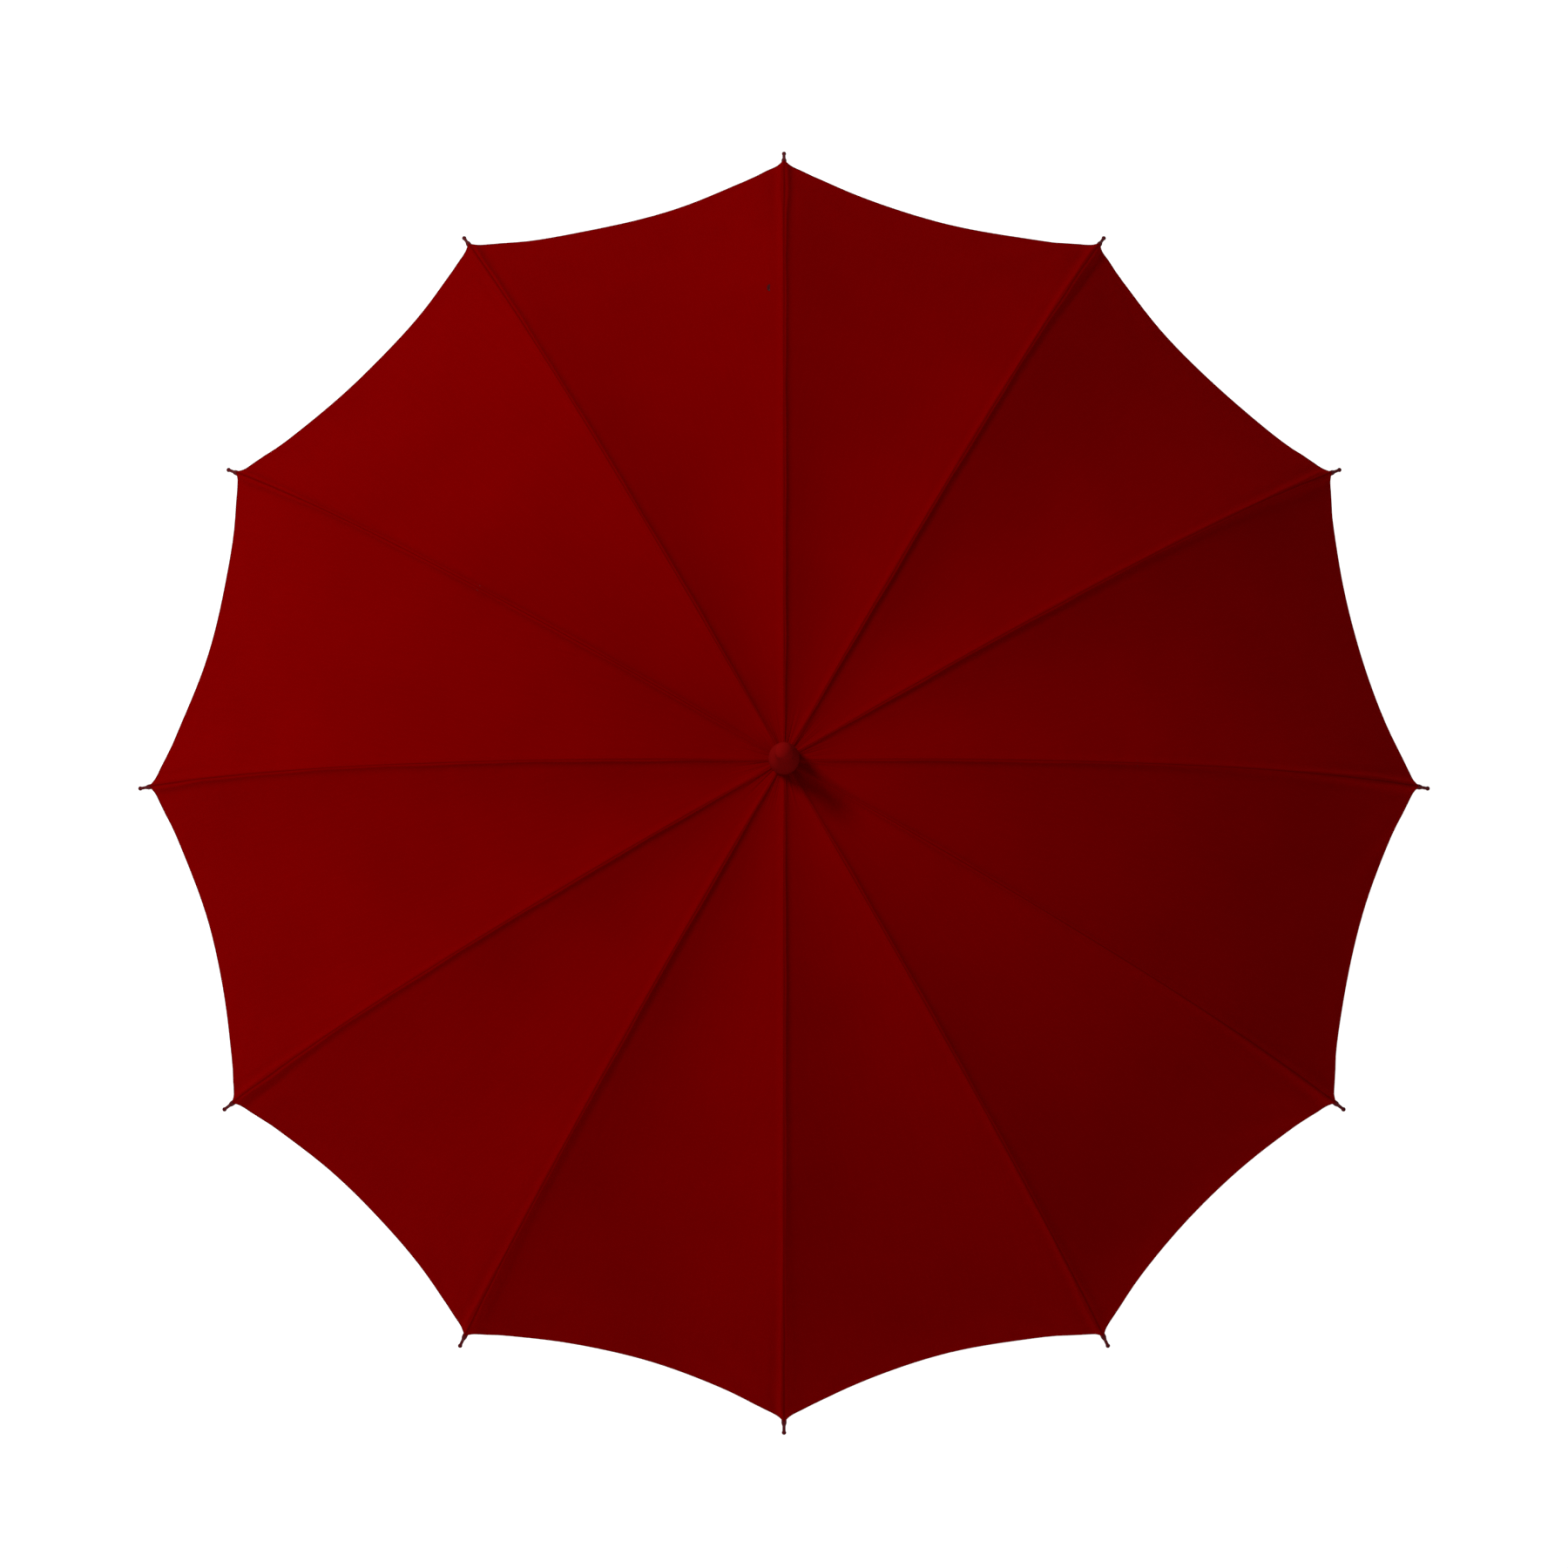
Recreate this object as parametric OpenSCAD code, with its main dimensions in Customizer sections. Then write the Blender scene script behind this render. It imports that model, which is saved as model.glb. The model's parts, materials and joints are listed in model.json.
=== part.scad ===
// Stick umbrella with twelve ribs, shown open.
// +Z runs up the shaft. The origin is on the shaft's axis, at the middle of the grip.

/* [Ribs] */
// Horizontal reach of the fluted inner rib, from its crown pivot to the stretcher joint
inner_reach = 250; // [240:1:256]
// Horizontal reach of the glass fibre outer rib
outer_reach = 227; // [215:1:235]
// Slope at which a rib leaves the crown, in degrees above the horizontal
crown_rise = 8; // [6:0.5:9]
// Slope at the stretcher joint, in degrees below the horizontal
joint_slope = 16; // [14:0.5:18]
// Slope at the rib's end, in degrees below the horizontal
end_slope = 54; // [50:0.5:56]
// Width of the steel flute
flute_w = 3.2; // [3.0:0.1:3.6]
// Diameter of the glass fibre rod
rod_d = 3; // [2.6:0.1:3]
// Length of the metal tip beyond the rod
tip_reach = 16; // [12:1:18]

/* [Canopy] */
// How far the middle of a panel hangs below its ribs
panel_sag = 9; // [4:1:12]
// How far the hem curves in at the middle of a panel, along the rib
hem_scallop = 28; // [15:1:34]
// Height of the fabric solid
fabric_t = 0.7; // [0.5:0.1:1]

/* [Shaft] */
// Outer diameter of the shaft tube
shaft_d = 14; // [13:0.5:14]
// Height of the crown's rib pivots above the middle of the grip
crown_z = 640; // [636:1:660]
// Width of the thumb catches
catch_w = 1.6; // [1.2:0.1:1.8]

/* [Crown and runner] */
// Radius of the circle on which the ribs and the stretchers pivot
pivot_r = 13; // [12.8:0.1:13.4]
// Outer radius of the crown and of the runner's notched ring
notch_r = 17; // [16.5:0.5:18]
// Length of the runner's sleeve below its pivots
sleeve_len = 45; // [40:1:46]

/* [Handle] */
// Diameter of the handle
grip_d = 23; // [21:1:25]
// Length of the straight grip
grip_len = 110; // [90:5:110]
// Centreline radius of the crook
crook_r = 40; // [34:1:46]
// Length of the crook's straight end
crook_end = 25; // [15:1:35]

/* [Ferrule] */
// Diameter of the ferrule's cup, which presses on the fabric
cup_d = 24; // [23:1:28]
// Diameter of the ferrule's straight nose
nose_d = 14; // [12:0.5:15]
// Height of the ferrule
ferrule_h = 62; // [56:1:70]

/* [Hidden] */
rib_count = 12;
pitch = 360 / rib_count;
strap_rib = 4;
$fn = 64;

function numbered(name) = [for (k = [1:rib_count]) str(name, k)];

// Clearances: round a pin, beside a moving part, round a rib's wire ring, and under the press stud.
// Cutting solids reach past the surface by cut.
run_gap = 0.1;
side_gap = 0.3;
ring_gap = 0.12;
snap_gap = 0.1;
cut = 1;

// Rib joints
flute_wall = 0.5;
flute_h = 3;
tongue_w = flute_w - 2 * flute_wall;
eye_r = 2.2;
ring_r = 0.6;
clip_drop = 5;
clip_r = 2.4;
rivet_r = 0.9;
rivet_head = 0.3;
cheek_t = 0.8;
cheek_y = 1.3;
cheek_h = 2.4;
cheek_front = 7;
hinge_x = 13;
hinge_r = 1.9;
rod_start = 3;
link_t = 2 * (cheek_y - side_gap);
stretcher_h = 2.4;

// A rib's centreline: an arc, a short straight stretch through the joint, and a second arc.
// Slopes are degrees below the horizontal, and places are [distance from the shaft, height above the pivots].
function along(slope) = [cos(slope), -sin(slope)];
function above(slope) = [sin(slope), cos(slope)];
inner_rho = inner_reach / (sin(joint_slope) + sin(crown_rise));
inner_centre = [pivot_r, 0] - inner_rho * above(-crown_rise);
rib_joint = inner_centre + inner_rho * above(joint_slope);
hinge_point = rib_joint + hinge_x * along(joint_slope);
rod_point = hinge_point + rod_start * along(joint_slope);
outer_rho = outer_reach / (sin(end_slope) - sin(joint_slope));
outer_centre = rod_point - outer_rho * above(joint_slope);
rod_end = outer_centre + outer_rho * above(end_slope);

// The linkage is symmetrical: a rib's inner link and its stretcher have the same length,
// so the stretcher turns back exactly as far as the rib turns down.
clip_point = rib_joint - clip_drop * above(joint_slope);
runner_z = 2 * clip_point[1];
stretcher_slope = atan2(clip_point[1], clip_point[0] - pivot_r);
stretcher_len = norm(clip_point - [pivot_r, 0]);
fold_deg = 80;
closed_slope = fold_deg - stretcher_slope;
closed_drop = 2 * stretcher_len * sin(closed_slope);

// Crown, runner and ferrule
slot_w = tongue_w + 2 * side_gap;
slot_from = pivot_r - eye_r - 2 * side_gap;
slot_top = eye_r + 0.4;
roof_t = 0.8;
roof_top = slot_top + roof_t;
ring_groove = ring_r + run_gap;
crown_drop = 6;
crown_hub_r = 10;
crown_hub_drop = 14;
shaft_r = shaft_d / 2;
shaft_wall = 1;
sleeve_r = 10.9;
runner_foot_r = 13;
runner_foot_h = 4;
fabric_gap = 0.4;
fabric_under = flute_h / 2 + 1.2;
fabric_bottom = roof_top + fabric_gap;
washer_z = fabric_bottom + fabric_t + side_gap;
washer_t = 1;
ferrule_z = washer_z + washer_t;
cup_h = 11;
cup_edge = 1.2;
nose_len = 16;
shaft_in_ferrule = 15;

// Canopy: the hole at its top, how far its hem stops short of the rods' ends, the run in which it comes down
// from the crown to the ribs, the slit between two panels, and each panel's grid.
hole_r = 8.5;
hem_inset = 3;
crown_dip = 15;
seam_gap = 0.2;
sag_share = 0.75;
rows = 18;
cols = 8;

// Catches
catch_angle = pitch / 2;
catch_len = 34;
catch_pivot_r = 2;
catch_out = 2.5;
catch_back = 0.5;
catch_nose = 2;
catch_foot = 4;
catch_tail = 2;
catch_pin_r = 0.8;
key_r = shaft_r + 3;
key_w = catch_w + 1.4;
window_z = 8;
window_h = 8;
top_catch_z = crown_z + runner_z - sleeve_len - 2 * side_gap;
bottom_catch_z = crown_z - closed_drop - sleeve_len + window_z + 1;

// Handle
grip_r = grip_d / 2;
collar_h = 15;
collar_wall = 1;
shaft_foot_z = 5;

// Tie strap
strap_w = 10;
strap_y = 4;
strap_t = 0.8;
strap_under = 2.6;
strap_from = joint_slope + 3;
strap_to = joint_slope + 17;
snap_r = 4.5;
snap_h = 1.2;

// ---- Placing ----

// Turns what is drawn in the first rib's plane to rib k, with its height counted from the crown's pivots.
module at_rib(k) rotate([0, 0, (k - 1) * pitch]) translate([0, 0, crown_z]) children();

// Moves what is drawn along +X to a place on a rib, pointing down its slope.
module on_rib(point, slope) translate([point[0], 0, point[1]]) rotate([0, slope, 0]) children();

// Sweeps a profile along an arc in the rib's plane. The profile's x points up and its y to the side.
module arc_sweep(centre, rho, from, to)
    translate([centre[0], 0, centre[1]])
    rotate([90, 0, 0]) rotate([0, 0, 90 - to])
    rotate_extrude(angle = to - from) translate([rho, 0]) children();

// Extrudes the same kind of profile along +X.
module bar(length) rotate([0, 90, 0]) mirror([1, 0, 0]) linear_extrude(length) children();

// A round pin or hole across the rib's plane.
module across(r, length) rotate([90, 0, 0]) cylinder(r = r, h = length, center = true);

module every_rib() for (k = [0:rib_count - 1]) rotate([0, 0, k * pitch]) children();

// ---- Ribs and stretchers ----

// The inner rib's section: a steel strip folded into a U that opens downwards.
module flute_profile() difference() {
    square([flute_h, flute_w], center = true);
    translate([-flute_wall, 0]) square([flute_h, tongue_w], center = true);
}

// Side view of the cheeks that hold the stretcher below the rib and the rod behind it.
module cheek_outline() {
    translate([-cheek_front, -cheek_h / 2]) square([cheek_front + hinge_x, cheek_h]);
    translate([-clip_r, -clip_drop]) square([2 * clip_r, clip_drop]);
    translate([0, -clip_drop]) circle(r = clip_r);
    translate([hinge_x, 0]) circle(r = hinge_r);
}

module cheeks() for (side = [-1, 1])
    translate([0, side * (cheek_y + cheek_t / 2), 0])
    rotate([90, 0, 0]) linear_extrude(cheek_t, center = true) cheek_outline();

module rib_inner(k) {
    tongue_deg = 1.2;
    tongue_h = flute_h - 0.2;
    flute_tail = 8;
    rivet_len = 2 * (cheek_y + cheek_t + rivet_head);
    hole_len = rivet_len + 2 * cut;
    color("silver") at_rib(k) {
        difference() {
            union() {
                translate([pivot_r, 0, 0]) across(eye_r, tongue_w);
                arc_sweep(inner_centre, inner_rho, -crown_rise, tongue_deg - crown_rise)
                    square([tongue_h, tongue_w], center = true);
                arc_sweep(inner_centre, inner_rho, 0.8 * tongue_deg - crown_rise, joint_slope) flute_profile();
                on_rib(rib_joint, joint_slope) {
                    bar(flute_tail) flute_profile();
                    cheeks();
                }
            }
            translate([pivot_r, 0, 0]) across(ring_r + ring_gap, flute_w + cut);
            on_rib(rib_joint, joint_slope) {
                translate([0, 0, -clip_drop]) across(rivet_r, hole_len);
                translate([hinge_x, 0, 0]) across(rivet_r, hole_len);
            }
        }
        // The two rivets
        on_rib(rib_joint, joint_slope) {
            translate([0, 0, -clip_drop]) across(rivet_r, rivet_len);
            translate([hinge_x, 0, 0]) across(rivet_r, rivet_len);
        }
    }
}

module rib_outer(k) color("#202022") at_rib(k) {
    tongue_r = 1.8;
    tongue_h = 2.4;
    difference() {
        union() {
            on_rib(hinge_point, joint_slope) {
                across(tongue_r, link_t);
                bar(2 * rod_start) square([tongue_h, link_t], center = true);
            }
            arc_sweep(outer_centre, outer_rho, joint_slope, end_slope) circle(d = rod_d);
        }
        on_rib(hinge_point, joint_slope) across(rivet_r + run_gap, rod_d + cut);
    }
}

// The metal tip is a sleeve over the rod's end, with a slim neck and a small round end.
module rib_tip(k) {
    sleeve = 8;
    collar = 2;
    cone = 4;
    bore_r = rod_d / 2 + run_gap;
    sleeve_out = bore_r + 0.5;
    neck_r = 1.3;
    ball_r = 1.8;
    color("#4a0a10") at_rib(k) on_rib(rod_end, end_slope) rotate([0, 90, 0]) difference() {
        union() {
            translate([0, 0, -sleeve]) cylinder(r = sleeve_out, h = sleeve + collar);
            translate([0, 0, collar]) cylinder(r1 = sleeve_out, r2 = neck_r, h = cone);
            cylinder(r = neck_r, h = tip_reach - ball_r);
            translate([0, 0, tip_reach - ball_r]) sphere(r = ball_r);
        }
        translate([0, 0, -sleeve - cut]) cylinder(r = bore_r, h = sleeve + cut);
    }
}

module stretcher(k) {
    flat_len = 9;
    color("silver") at_rib(k) on_rib([pivot_r, runner_z], stretcher_slope) difference() {
        union() {
            across(eye_r, tongue_w);
            translate([stretcher_len, 0, 0]) across(eye_r, link_t);
            bar(stretcher_len) square([stretcher_h, link_t], center = true);
            translate([flat_len, 0, 0]) bar(stretcher_len - 2 * flat_len)
                square([stretcher_h, flute_w], center = true);
        }
        across(ring_r + ring_gap, flute_w + cut);
        translate([stretcher_len, 0, 0]) across(rivet_r + run_gap, flute_w + cut);
    }
}

// ---- Crown, runner and ferrule ----

// A notched ring for the rib or stretcher eyes, open outwards and downwards, round the plane z = 0.
module notched_ring() difference() {
    translate([0, 0, -crown_drop]) cylinder(r = notch_r, h = crown_drop + roof_top);
    every_rib() translate([slot_from, -slot_w / 2, -crown_drop - cut])
        cube([notch_r, slot_w, crown_drop + slot_top + cut]);
    rotate_extrude() {
        translate([pivot_r, 0]) circle(r = ring_groove);
        translate([pivot_r, -ring_groove]) square([notch_r, 2 * ring_groove]);
    }
}

// The wire ring on which the eyes turn
module wire_ring() rotate_extrude() translate([pivot_r, 0]) circle(r = ring_r);

module crown() color("gainsboro") translate([0, 0, crown_z]) {
    difference() {
        union() {
            notched_ring();
            translate([0, 0, -crown_hub_drop]) cylinder(r = crown_hub_r, h = crown_hub_drop);
        }
        translate([0, 0, -crown_hub_drop - cut]) cylinder(r = shaft_r, h = crown_hub_drop + roof_top + 2 * cut);
    }
    wire_ring();
}

module runner() color("#202022") translate([0, 0, crown_z + runner_z]) {
    difference() {
        union() {
            mirror([0, 0, 1]) notched_ring();
            translate([0, 0, -sleeve_len]) cylinder(r = sleeve_r, h = sleeve_len - slot_top);
            translate([0, 0, -sleeve_len]) cylinder(r = runner_foot_r, h = runner_foot_h);
        }
        translate([0, 0, -sleeve_len - cut])
            cylinder(r = shaft_r + run_gap, h = sleeve_len + crown_drop + 2 * cut);
        rotate([0, 0, catch_angle]) {
            // Keyway that lets the catches' noses through
            translate([0, -key_w / 2, -sleeve_len - cut])
                cube([key_r, key_w, sleeve_len + crown_drop + 2 * cut]);
            // Window over the lower catch
            translate([0, -key_w / 2, window_z - sleeve_len]) cube([runner_foot_r + cut, key_w, window_h]);
        }
    }
    wire_ring();
}

module cap_washer() color("dimgray") translate([0, 0, crown_z + washer_z]) difference() {
    cylinder(r = cup_d / 2 - 1, h = washer_t);
    translate([0, 0, -cut]) cylinder(r = shaft_r, h = washer_t + 2 * cut);
}

// Half outline of the ferrule: a cup, a shoulder that tapers in two curves, and a straight nose with a round end
module ferrule_profile() {
    cup_r = cup_d / 2;
    nose_r = nose_d / 2;
    nose_from = ferrule_h - nose_r - nose_len;
    taper = nose_from - cup_h;
    steps = 12;
    polygon(concat(
        [[0, 0], [cup_r - cup_edge / 2, 0], [cup_r, cup_edge / 2], [cup_r, cup_h]],
        [for (i = [1:steps - 1]) let (t = i / steps)
            [nose_r + (cup_r - nose_r) * (1 + cos(180 * t)) / 2, cup_h + taper * t]],
        [[nose_r, nose_from], [nose_r, nose_from + nose_len], [0, nose_from + nose_len]]
    ));
    intersection() {
        translate([0, nose_from + nose_len]) circle(r = nose_r);
        translate([0, nose_from]) square([nose_r, ferrule_h]);
    }
}

module ferrule() color("#6e0a10") translate([0, 0, crown_z + ferrule_z]) difference() {
    rotate_extrude() ferrule_profile();
    translate([0, 0, -cut]) cylinder(r = shaft_r, h = shaft_in_ferrule + cut);
}

// ---- Shaft and catches ----

// Side view of a catch: nose up, pivoting at its foot, with x counted from the shaft's axis
module catch_outline() polygon([
    [catch_back, 0],
    [shaft_r + catch_out, 0],
    [shaft_r + catch_out, -catch_nose],
    [shaft_r - 1.5, catch_foot - catch_len],
    [2 * catch_pivot_r, catch_foot - catch_len],
    [2 * catch_pivot_r, -catch_tail - catch_len],
    [0, -catch_tail - catch_len],
    [0, catch_foot - catch_len]
]);

module at_catch(nose_z, flip) translate([0, 0, nose_z]) rotate([0, 0, catch_angle]) mirror([0, 0, flip]) children();

module catch_leaf() difference() {
    rotate([90, 0, 0]) linear_extrude(catch_w, center = true) catch_outline();
    translate([catch_pivot_r, 0, -catch_len]) across(catch_pin_r + run_gap, catch_w + cut);
}

module catch_pin() translate([catch_pivot_r, 0, -catch_len]) across(catch_pin_r, 2 * shaft_r - 2);

module top_catch() color("silver") at_catch(top_catch_z, 0) catch_leaf();

module bottom_catch() color("silver") at_catch(bottom_catch_z, 1) catch_leaf();

module shaft() {
    shaft_len = crown_z + ferrule_z + shaft_in_ferrule - shaft_foot_z;
    slot_h = catch_len + catch_tail;
    color("#2b2b2e") {
        difference() {
            translate([0, 0, shaft_foot_z]) cylinder(r = shaft_r, h = shaft_len);
            translate([0, 0, shaft_foot_z - cut]) cylinder(r = shaft_r - shaft_wall, h = shaft_len + 2 * cut);
            for (place = [[top_catch_z, 0], [bottom_catch_z, 1]]) at_catch(place[0], place[1]) {
                translate([0, -catch_w / 2 - side_gap, 1 - slot_h]) cube([2 * shaft_r, catch_w + 2 * side_gap, slot_h]);
                catch_pin();
            }
        }
        // The two hinge pins of the catches
        at_catch(top_catch_z, 0) catch_pin();
        at_catch(bottom_catch_z, 1) catch_pin();
    }
}

// ---- Handle ----

module handle() color("#5a3418") difference() {
    union() {
        translate([0, 0, -grip_len / 2]) cylinder(r = grip_r, h = grip_len);
        translate([crook_r, 0, -grip_len / 2]) rotate([90, 0, 0]) rotate([0, 0, 180])
            rotate_extrude(angle = 180) translate([crook_r, 0]) circle(r = grip_r);
        translate([2 * crook_r, 0, -grip_len / 2]) cylinder(r = grip_r, h = crook_end);
        translate([2 * crook_r, 0, crook_end - grip_len / 2]) sphere(r = grip_r);
    }
    translate([0, 0, shaft_foot_z]) cylinder(r = shaft_r, h = grip_len);
}

module handle_collar() color("gainsboro") translate([0, 0, grip_len / 2]) difference() {
    cylinder(r = grip_r + collar_wall, h = collar_h);
    translate([0, 0, -cut]) cylinder(r = shaft_r, h = collar_h + 2 * cut);
}

// ---- Canopy and tie strap ----

// Lengths along a rib's centreline, from the edge of the hole in the fabric
flat_run = pivot_r - hole_r;
inner_run = inner_rho * (joint_slope + crown_rise) * PI / 180;
straight_run = hinge_x + rod_start;
outer_run = outer_rho * (end_slope - joint_slope) * PI / 180;
fabric_run = flat_run + inner_run + straight_run + outer_run - hem_inset;

function deg(run, rho) = run / rho * 180 / PI;
function slope_at(s) =
    s < flat_run ? 0
    : s < flat_run + inner_run ? deg(s - flat_run, inner_rho) - crown_rise
    : s < flat_run + inner_run + straight_run ? joint_slope
    : joint_slope + deg(s - flat_run - inner_run - straight_run, outer_rho);
function centreline(s) =
    s < flat_run ? [hole_r + s, 0]
    : s < flat_run + inner_run ? inner_centre + inner_rho * above(slope_at(s))
    : s < flat_run + inner_run + straight_run ? rib_joint + (s - flat_run - inner_run) * along(joint_slope)
    : outer_centre + outer_rho * above(slope_at(s));

// The fabric's underside over a rib. It starts higher, on the crown, and settles on the rib.
function underside(s) =
    centreline(s) + fabric_under * above(slope_at(s))
    + [0, (fabric_bottom - fabric_under) * exp(-max(0, s - flat_run) / crown_dip)];

// A point on a panel's underside: t runs from the hole to the hem, and j from -1 to 1 across the panel.
function panel_point(t, j) =
    let (
        mid = 1 - j * j,
        p = underside(t * (fabric_run - hem_scallop * mid * t * t))
    )
    [p[0] * cos(pitch / 2), j * (p[0] * sin(pitch / 2) - seam_gap),
     crown_z + p[1] - panel_sag * mid * sin(180 * sag_share * t)];

// One panel as a thin closed solid: its underside, its upper side and the four edges between them
module panel() {
    under = [for (i = [0:rows]) for (j = [0:cols]) panel_point(i / rows, 2 * j / cols - 1)];
    n = len(under);
    wide = cols + 1;
    points = concat(under, [for (p = under) p + [0, 0, fabric_t]]);
    edge = concat(
        [for (j = [0:cols]) j],
        [for (i = [1:rows]) i * wide + cols],
        [for (j = [1:cols]) rows * wide + cols - j],
        [for (i = [1:rows - 1]) (rows - i) * wide]
    );
    faces = concat(
        [for (i = [0:rows - 1]) for (j = [0:cols - 1]) let (a = i * wide + j)
            each [[a, a + 1, a + wide + 1], [a, a + wide + 1, a + wide]]],
        [for (i = [0:rows - 1]) for (j = [0:cols - 1]) let (a = n + i * wide + j)
            each [[a, a + wide + 1, a + 1], [a, a + wide, a + wide + 1]]],
        [for (e = [0:len(edge) - 1]) let (a = edge[e], b = edge[(e + 1) % len(edge)])
            each [[a, n + b, b], [a, n + a, n + b]]]
    );
    polyhedron(points, faces);
}

module canopy() color("#760000") every_rib() rotate([0, 0, pitch / 2]) panel();

// The strap that ties the closed canopy lies under the fabric, beside one rib.
module tie_strap() color("#760000") at_rib(strap_rib)
    arc_sweep(outer_centre, outer_rho - strap_under, strap_from, strap_to)
    translate([0, -strap_y - strap_w / 2]) square([strap_t, strap_w], center = true);

module strap_snap() color("#202022") at_rib(strap_rib)
    on_rib(outer_centre + (outer_rho - strap_under) * above(strap_to - 1), strap_to - 1)
    translate([0, strap_y + strap_w / 2, -strap_t / 2 - snap_gap - snap_h]) cylinder(r = snap_r, h = snap_h);

// ---- Nodes ----

for (k = [1:rib_count]) {
    rib_inner(k);
    rib_outer(k);
    rib_tip(k);
    stretcher(k);
}
canopy();
crown();
cap_washer();
ferrule();
shaft();
top_catch();
bottom_catch();
runner();
handle();
handle_collar();
tie_strap();
strap_snap();
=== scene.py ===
# The looks of an open stick umbrella with twelve ribs, built round its CAD frame.
# Lengths are metres and angles are radians, unless a name says otherwise.
import json
import math
import bpy
import numpy as np
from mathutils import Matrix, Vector


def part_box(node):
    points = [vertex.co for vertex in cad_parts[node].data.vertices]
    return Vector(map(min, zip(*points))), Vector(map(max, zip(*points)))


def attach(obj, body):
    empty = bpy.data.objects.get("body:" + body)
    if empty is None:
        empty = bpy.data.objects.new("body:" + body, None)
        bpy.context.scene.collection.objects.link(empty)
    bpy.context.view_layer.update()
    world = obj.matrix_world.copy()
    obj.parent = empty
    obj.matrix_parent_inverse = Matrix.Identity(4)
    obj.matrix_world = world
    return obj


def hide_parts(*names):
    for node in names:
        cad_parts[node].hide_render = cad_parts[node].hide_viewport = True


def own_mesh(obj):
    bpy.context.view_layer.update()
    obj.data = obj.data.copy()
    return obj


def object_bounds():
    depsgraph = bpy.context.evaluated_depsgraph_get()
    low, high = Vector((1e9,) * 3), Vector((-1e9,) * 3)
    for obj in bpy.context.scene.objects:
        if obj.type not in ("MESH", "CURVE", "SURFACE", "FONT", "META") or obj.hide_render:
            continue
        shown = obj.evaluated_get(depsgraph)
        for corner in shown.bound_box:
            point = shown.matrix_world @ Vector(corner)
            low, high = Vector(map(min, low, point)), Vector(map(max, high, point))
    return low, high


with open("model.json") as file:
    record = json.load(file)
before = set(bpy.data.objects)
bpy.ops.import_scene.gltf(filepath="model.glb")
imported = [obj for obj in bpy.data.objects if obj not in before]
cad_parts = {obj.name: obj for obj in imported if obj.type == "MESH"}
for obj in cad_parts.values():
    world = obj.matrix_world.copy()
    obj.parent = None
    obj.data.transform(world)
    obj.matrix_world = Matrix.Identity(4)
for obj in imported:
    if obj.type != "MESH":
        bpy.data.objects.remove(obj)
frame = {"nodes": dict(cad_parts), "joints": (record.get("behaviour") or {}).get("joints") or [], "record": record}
cad_low, cad_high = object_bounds()

MM = 0.001
RIB_COUNT = len([name for name in frame["nodes"] if name.startswith("rib_inner_")])
PITCH = 2 * math.pi / RIB_COUNT
HALF_PITCH = PITCH / 2


# ---- The rib's line, worked out from the frame ----

def joint_place(name):
    """A joint's distance from the shaft and its height, for a joint in the first rib's plane."""
    joint = next(j for j in frame["joints"] if j["name"] == name)
    return np.array([joint["pos_m"][0], joint["pos_m"][2]])


def along(slope):
    """Unit step along a rib that points down at that slope."""
    return np.array([math.cos(slope), -math.sin(slope)])


def above(slope):
    """Unit step square to a rib, away from the shaft's foot."""
    return np.array([math.sin(slope), math.cos(slope)])


# Slopes of the rib where its parts begin and end, its fold and its flex, as in the CAD's source
CROWN_RISE = math.radians(8)
JOINT_SLOPE = math.radians(16)
END_SLOPE = math.radians(54)
FOLD = math.radians(80)
FLEX = math.radians(22)

# Lengths from the same source: along the rib, the rod's radius, the fabric's hole and the hem's inset
HINGE_BEYOND_JOINT = 13 * MM
ROD_START = 3 * MM
ROD_R = 1.5 * MM
HOLE_R = 8.5 * MM
HEM_INSET = 3 * MM

# Points and curves of the rib's line, with heights from the pivot in the crown
CROWN_Z = joint_place("canopy_fold")[1]
PIVOT = joint_place("canopy_fold") - [0, CROWN_Z]
HINGE = joint_place("rib_flex_1") - [0, CROWN_Z]
RIB_JOINT = HINGE - HINGE_BEYOND_JOINT * along(JOINT_SLOPE)
ROD_POINT = HINGE + ROD_START * along(JOINT_SLOPE)
INNER_RHO = (RIB_JOINT - PIVOT)[0] / (math.sin(JOINT_SLOPE) + math.sin(CROWN_RISE))
INNER_CENTRE = PIVOT - INNER_RHO * above(-CROWN_RISE)
ROD_END_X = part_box("rib_outer_1")[1].x - ROD_R * math.sin(END_SLOPE)
OUTER_RHO = (ROD_END_X - ROD_POINT[0]) / (math.sin(END_SLOPE) - math.sin(JOINT_SLOPE))
OUTER_CENTRE = ROD_POINT - OUTER_RHO * above(JOINT_SLOPE)

# Lengths along the cloth over a rib, from the hole to the hem
FLAT_RUN = PIVOT[0] - HOLE_R
INNER_RUN = INNER_RHO * (JOINT_SLOPE + CROWN_RISE)
STRAIGHT_RUN = HINGE_BEYOND_JOINT + ROD_START
OUTER_RUN = OUTER_RHO * (END_SLOPE - JOINT_SLOPE)
HINGE_RUN = FLAT_RUN + INNER_RUN + HINGE_BEYOND_JOINT
FABRIC_RUN = FLAT_RUN + INNER_RUN + STRAIGHT_RUN + OUTER_RUN - HEM_INSET


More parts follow.
